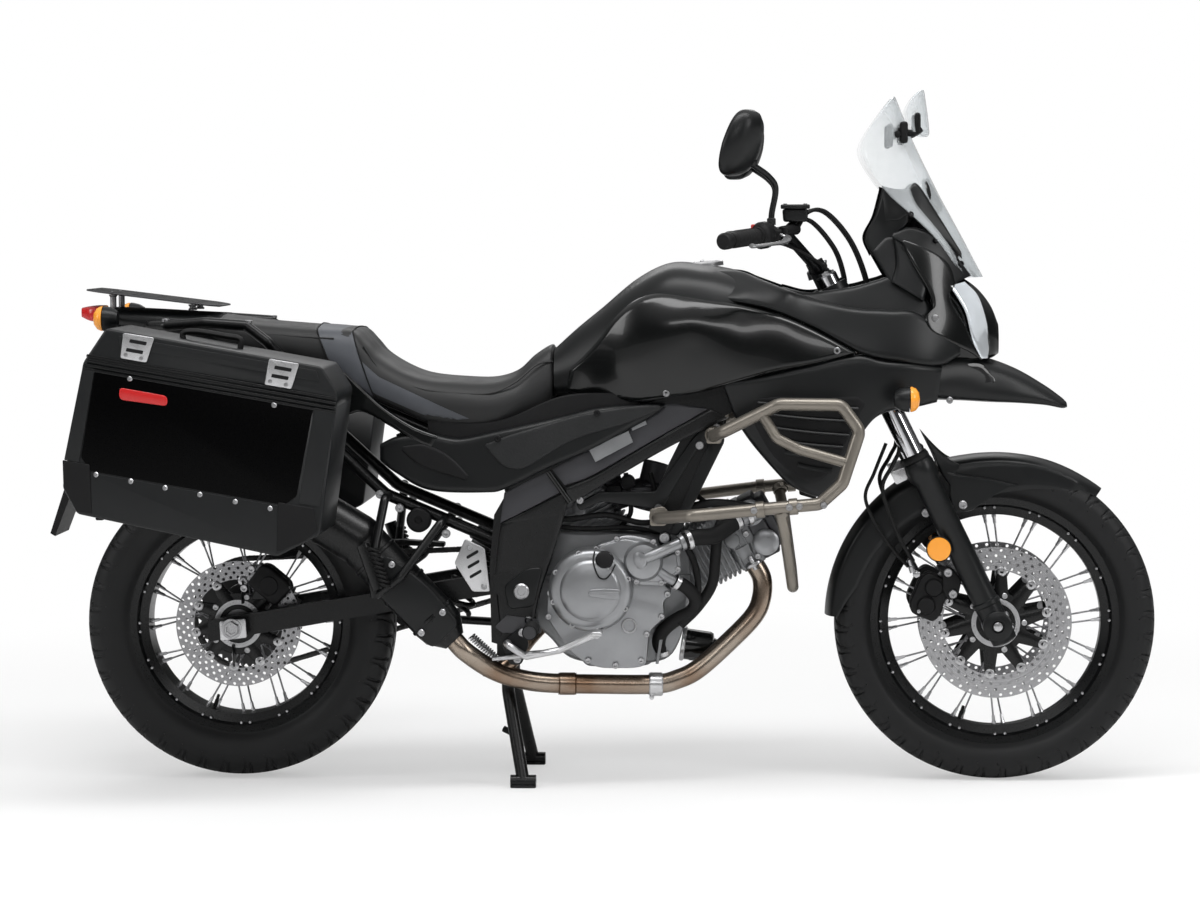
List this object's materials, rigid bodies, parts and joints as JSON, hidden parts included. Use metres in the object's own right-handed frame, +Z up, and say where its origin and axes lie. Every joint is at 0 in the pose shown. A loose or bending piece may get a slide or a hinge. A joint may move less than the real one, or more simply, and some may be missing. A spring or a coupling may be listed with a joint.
{
  "type": "adventure motorcycle",
  "caption": "Middleweight V-twin adventure motorcycle with wire wheels, beaked fairing, tubular crash bars, top rack and hard side panniers.",
  "frame": {"origin": "bottom centre of the bounding box, on the floor under the motorcycle", "axes": "+X forward, +Y to the rider's left, +Z up"},
  "size_m": [2.2786, 0.96, 1.418],
  "materials": {
    "black_gloss": "gloss",
    "black_paint": "gloss",
    "black_plastic": "matt",
    "black_frame": "satin",
    "frame_paint": "satin",
    "black_rim": "satin",
    "black_case": "satin powder coat",
    "bar_finish": "satin warm grey",
    "chain_steel": "oiled",
    "engine_alloy": "painted casting",
    "pipe_steel": "heat tinted",
    "polished_alloy": "brushed",
    "rack_alloy": "brushed",
    "radiator_alloy": "black",
    "muffler_shell": "heat-proof black",
    "hub_and_spokes": "satin",
    "disc_steel": "ground",
    "chrome": "polished",
    "tyre": "matt",
    "grip_rubber": "matt",
    "seat_vinyl": "grained",
    "lamp_glass": "clear",
    "amber_lens": "gloss",
    "red_lens": "gloss",
    "clear_screen": "clear"
  },
  "bodies": {
    "chassis": {"beak": "black_gloss", "crash_bars": "bar_finish", "drive_chain": "chain_steel", "engine": "engine_alloy", "exhaust_pipe": "pipe_steel", "fairing_sides": "black_gloss", "foot_levers": "polished_alloy", "fuel_tank": "black_paint", "grab_rail": "black_frame", "headlamp": "lamp_glass", "heel_guards": "polished_alloy", "instruments": "black_plastic", "left_pannier": "black_case", "luggage_rack": "rack_alloy", "main_frame": "frame_paint", "muffler": "muffler_shell", "oil_filter": "black_frame", "pannier_carriers": "black_frame", "passenger_pegs": "black_frame", "radiator": "radiator_alloy", "rear_caliper": "black_frame", "rear_fender": "black_plastic", "rider_pegs": "black_frame", "right_pannier": "black_case", "seat": "seat_vinyl", "side_covers": "black_plastic", "subframe": "black_frame", "swingarm": "black_frame", "tail_cover": "black_plastic", "tail_lamp": "red_lens", "tank_panels": "black_gloss", "turn_signals": "amber_lens", "wind_deflector": "clear_screen", "windshield": "clear_screen"},
    "front_wheel": {"front_tyre": "tyre", "front_rim": "black_rim", "front_hub_and_spokes": "hub_and_spokes", "front_discs": "disc_steel"},
    "rear_wheel": {"rear_tyre": "tyre", "rear_rim": "black_rim", "rear_hub_and_spokes": "hub_and_spokes", "rear_disc": "disc_steel", "rear_sprocket": "chain_steel"},
    "steering_group": {"triple_clamps": "black_frame", "fork_stanchions": "chrome", "fork_sliders": "black_frame", "front_calipers": "black_frame", "front_fender": "black_gloss", "handlebar": "black_frame", "grips": "grip_rubber", "hand_controls": "black_plastic", "mirrors": "black_plastic", "fork_reflectors": "amber_lens"},
    "centre_stand_leg": {"centre_stand": "black_frame"},
    "side_stand_leg": {"side_stand": "black_frame"},
    "right_case_lid": {"right_lid": "black_case"},
    "left_case_lid": {"left_lid": "black_case"}
  },
  "joints": [
    {"name": "steering", "type": "hinge", "parent": "chassis", "child": "steering_group", "pos_m": [0.48294, 0, 0.90705], "axis": [-0.4384, 0, 0.8988], "range_deg": [-40, 40]},
    {"name": "front_wheel_spin", "type": "hinge", "parent": "steering_group", "child": "front_wheel", "pos_m": [0.81535, 0, 0.3293], "axis": [0, 1, 0], "continuous": true},
    {"name": "rear_wheel_spin", "type": "hinge", "parent": "chassis", "child": "rear_wheel", "pos_m": [-0.74465, 0, 0.3259], "axis": [0, 1, 0], "continuous": true},
    {"name": "centre_stand_fold", "type": "hinge", "parent": "chassis", "child": "centre_stand_leg", "pos_m": [-0.185, 0, 0.275], "axis": [0, 1, 0], "range_deg": [0, 72]},
    {"name": "side_stand_fold", "type": "hinge", "parent": "chassis", "child": "side_stand_leg", "pos_m": [-0.172, 0.176, 0.292], "axis": [-0.0943, -0.8924, -0.4412], "range_deg": [0, 100]},
    {"name": "right_lid_hinge", "type": "hinge", "parent": "chassis", "child": "right_case_lid", "pos_m": [-0.731, -0.24, 0.842], "axis": [-0.9846, 0, 0.1747], "range_deg": [0, 75]},
    {"name": "left_lid_hinge", "type": "hinge", "parent": "chassis", "child": "left_case_lid", "pos_m": [-0.731, 0.24, 0.842], "axis": [0.9846, 0, -0.1747], "range_deg": [0, 75]}
  ]
}
